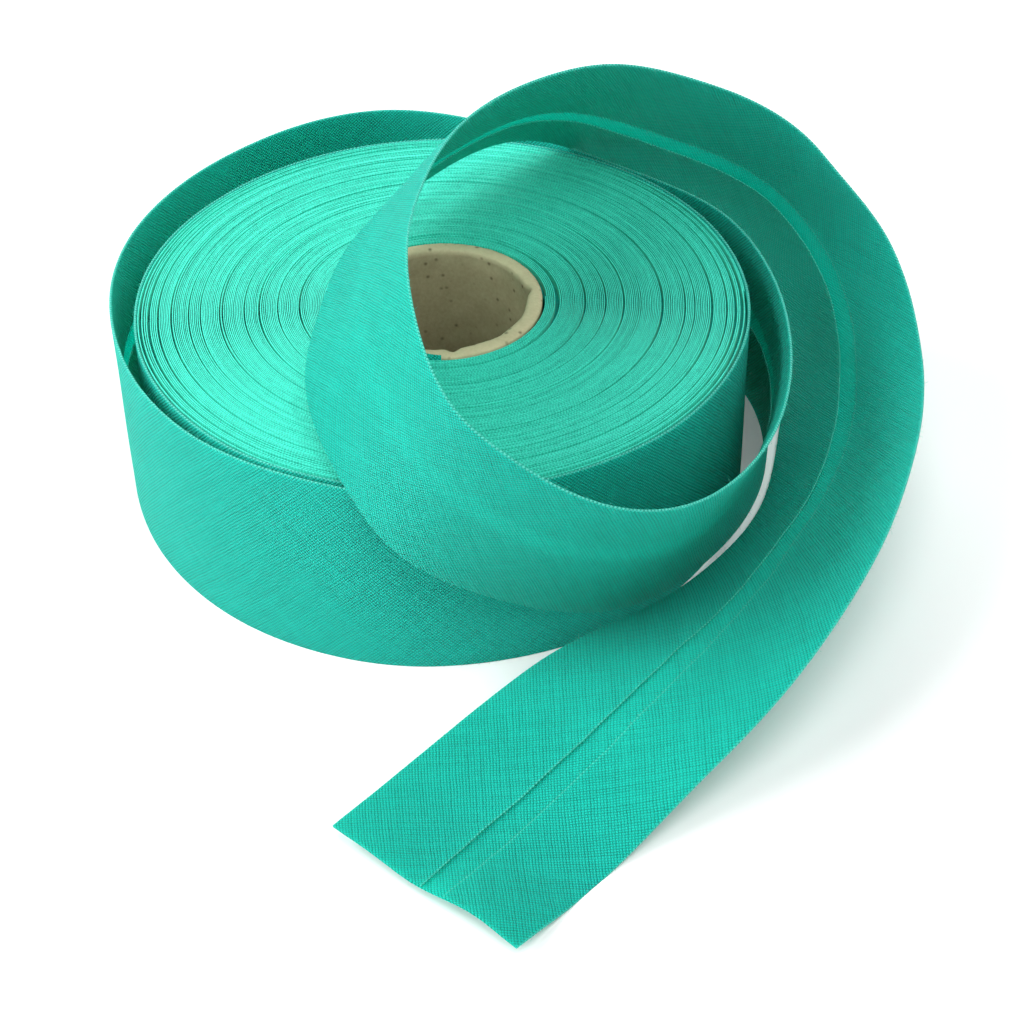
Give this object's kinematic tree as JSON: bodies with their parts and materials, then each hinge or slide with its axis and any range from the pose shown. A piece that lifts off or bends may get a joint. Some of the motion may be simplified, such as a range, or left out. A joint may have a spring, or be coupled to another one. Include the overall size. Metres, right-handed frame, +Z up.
{
  "type": "roll of bias binding",
  "caption": "Roll of folded cotton bias binding on a cardboard core, lying on its side with the loose end looped over it and trailing flat.",
  "frame": {"origin": "centre of the whole object's footprint on the table, at table height", "axes": "+Z up along the roll's axis; +Y towards the back, away from the side where the loose end trails; +X to the right seen from the trailing end"},
  "size_m": [0.1547, 0.1991, 0.0819],
  "materials": {
    "greyboard": "matt rolled cardboard",
    "wound_binding": "edges of wound plain-woven cotton",
    "bias_binding": "matt plain-woven cotton"
  },
  "bodies": {
    "root": {"core_tube": "greyboard", "wound_roll": "wound_binding", "loose_end": "bias_binding"}
  },
  "joints": []
}
